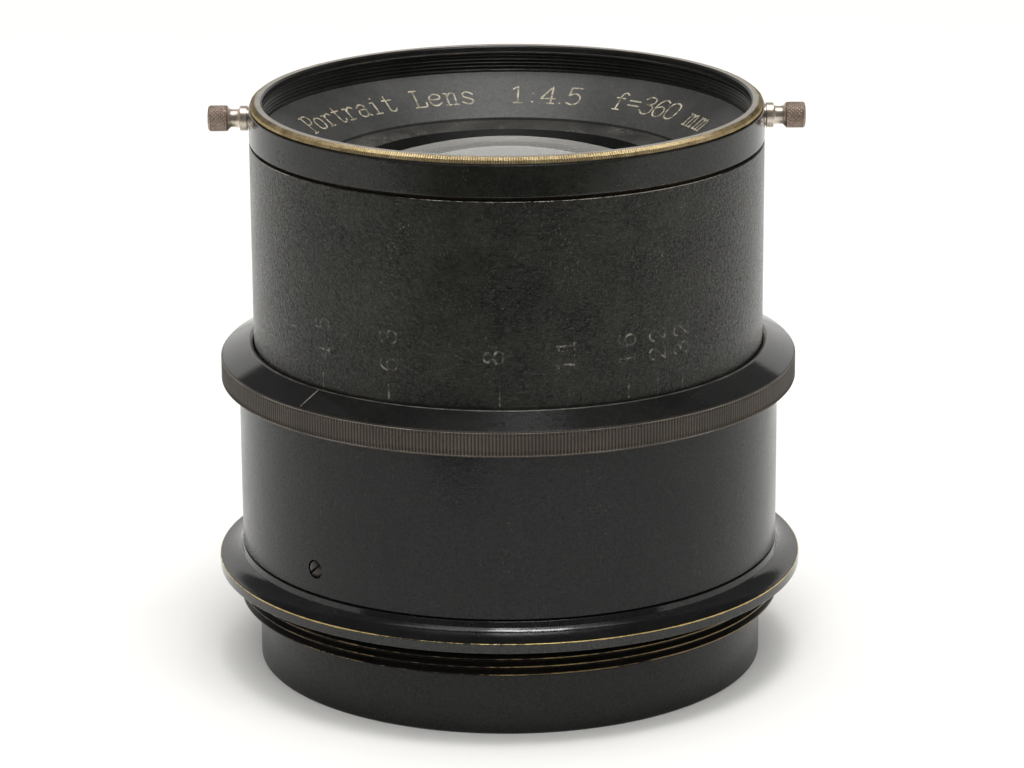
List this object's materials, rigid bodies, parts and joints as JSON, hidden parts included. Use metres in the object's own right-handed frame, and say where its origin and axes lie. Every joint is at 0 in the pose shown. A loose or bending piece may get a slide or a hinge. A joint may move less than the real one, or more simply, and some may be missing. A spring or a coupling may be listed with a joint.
{
  "type": "soft-focus portrait lens",
  "caption": "Large barrel lens standing on its rear end, with a knurled iris ring, a threaded mounting flange and a two-knob soft-focus ring round a deep conical front cell.",
  "frame": {"origin": "on the optical axis, in the plane of the rear end that the lens stands on", "axes": "+Z along the optical axis towards the front glass, -Y towards the engraved aperture scale, +X towards the right-hand knob"},
  "size_m": [0.1624, 0.1614, 0.1576],
  "materials": {
    "black_paint": "worn satin black paint over brass",
    "satin_paint": "smooth satin black enamel",
    "rim_brass": "bare brass with grey tarnish",
    "dark_brass": "chemically blackened brass",
    "knob_metal": "worn nickel plate",
    "screw_steel": "plain steel",
    "blade_steel": "blued spring steel",
    "optical_glass": "polished optical glass"
  },
  "bodies": {
    "barrel": {"rear_ring": "black_paint", "rear_cell": "black_paint", "rear_retaining_ring": "black_paint", "rear_crown_element": "optical_glass", "rear_flint_element": "optical_glass", "mount_thread_sleeve": "dark_brass", "flange_collar": "satin_paint", "lower_barrel": "satin_paint", "lock_screw_1": "screw_steel", "lock_screw_2": "screw_steel", "upper_barrel": "black_paint", "iris_base_plate": "dark_brass", "guide_tube": "dark_brass", "front_cell": "black_paint", "front_retaining_ring": "black_paint", "front_crown_element": "optical_glass", "front_flint_element": "optical_glass", "milled_rim": "rim_brass"},
    "aperture_control": {"aperture_ring": "black_paint", "aperture_drive_pin": "screw_steel", "iris_slot_ring": "dark_brass"},
    "soft_focus_control": {"front_collar": "black_paint", "soft_focus_sleeve": "dark_brass", "knob_left": "knob_metal", "knob_right": "knob_metal"},
    "middle_group": {"middle_cell": "dark_brass", "middle_element": "optical_glass", "middle_retaining_ring": "dark_brass", "guide_pin_1": "screw_steel", "guide_pin_2": "screw_steel", "guide_pin_3": "screw_steel"},
    "blade_01": {"iris_blade_01": "blade_steel"},
    "blade_02": {"iris_blade_02": "blade_steel"},
    "blade_03": {"iris_blade_03": "blade_steel"},
    "blade_04": {"iris_blade_04": "blade_steel"},
    "blade_05": {"iris_blade_05": "blade_steel"},
    "blade_06": {"iris_blade_06": "blade_steel"},
    "blade_07": {"iris_blade_07": "blade_steel"},
    "blade_08": {"iris_blade_08": "blade_steel"}
  },
  "joints": [
    {"name": "aperture_turn", "type": "hinge", "parent": "barrel", "child": "aperture_control", "pos_m": [0, 0, 0.0855], "axis": [0, 0, 1], "range_deg": [0, 85.1]},
    {"name": "soft_focus_turn", "type": "hinge", "parent": "barrel", "child": "soft_focus_control", "pos_m": [0, 0, 0.1515], "axis": [0, 0, 1], "range_deg": [0, 75]},
    {"name": "middle_group_slide", "type": "slide", "parent": "barrel", "child": "middle_group", "axis": [0, 0, 1], "range_m": [0, 0.0061]},
    {"name": "blade_01_turn", "type": "hinge", "parent": "barrel", "child": "blade_01", "pos_m": [0, -0.062, 0.0735], "axis": [0, 0, 1], "range_deg": [0, 33.3]},
    {"name": "blade_02_turn", "type": "hinge", "parent": "barrel", "child": "blade_02", "pos_m": [0.04384, -0.04384, 0.0735], "axis": [0, 0, 1], "range_deg": [0, 33.3]},
    {"name": "blade_03_turn", "type": "hinge", "parent": "barrel", "child": "blade_03", "pos_m": [0.062, 0, 0.0735], "axis": [0, 0, 1], "range_deg": [0, 33.3]},
    {"name": "blade_04_turn", "type": "hinge", "parent": "barrel", "child": "blade_04", "pos_m": [0.04384, 0.04384, 0.0735], "axis": [0, 0, 1], "range_deg": [0, 33.3]},
    {"name": "blade_05_turn", "type": "hinge", "parent": "barrel", "child": "blade_05", "pos_m": [0, 0.062, 0.0735], "axis": [0, 0, 1], "range_deg": [0, 33.3]},
    {"name": "blade_06_turn", "type": "hinge", "parent": "barrel", "child": "blade_06", "pos_m": [-0.04384, 0.04384, 0.0735], "axis": [0, 0, 1], "range_deg": [0, 33.3]},
    {"name": "blade_07_turn", "type": "hinge", "parent": "barrel", "child": "blade_07", "pos_m": [-0.062, 0, 0.0735], "axis": [0, 0, 1], "range_deg": [0, 33.3]},
    {"name": "blade_08_turn", "type": "hinge", "parent": "barrel", "child": "blade_08", "pos_m": [-0.04384, -0.04384, 0.0735], "axis": [0, 0, 1], "range_deg": [0, 33.3]}
  ],
  "couplings": [
    {"joint": "middle_group_slide", "follows": "soft_focus_turn", "m_per_rad": 0.0045837},
    {"joint": "blade_01_turn", "follows": "aperture_turn", "ratio": 0.39013},
    {"joint": "blade_02_turn", "follows": "aperture_turn", "ratio": 0.39013},
    {"joint": "blade_03_turn", "follows": "aperture_turn", "ratio": 0.39013},
    {"joint": "blade_04_turn", "follows": "aperture_turn", "ratio": 0.39013},
    {"joint": "blade_05_turn", "follows": "aperture_turn", "ratio": 0.39013},
    {"joint": "blade_06_turn", "follows": "aperture_turn", "ratio": 0.39013},
    {"joint": "blade_07_turn", "follows": "aperture_turn", "ratio": 0.39013},
    {"joint": "blade_08_turn", "follows": "aperture_turn", "ratio": 0.39013}
  ]
}
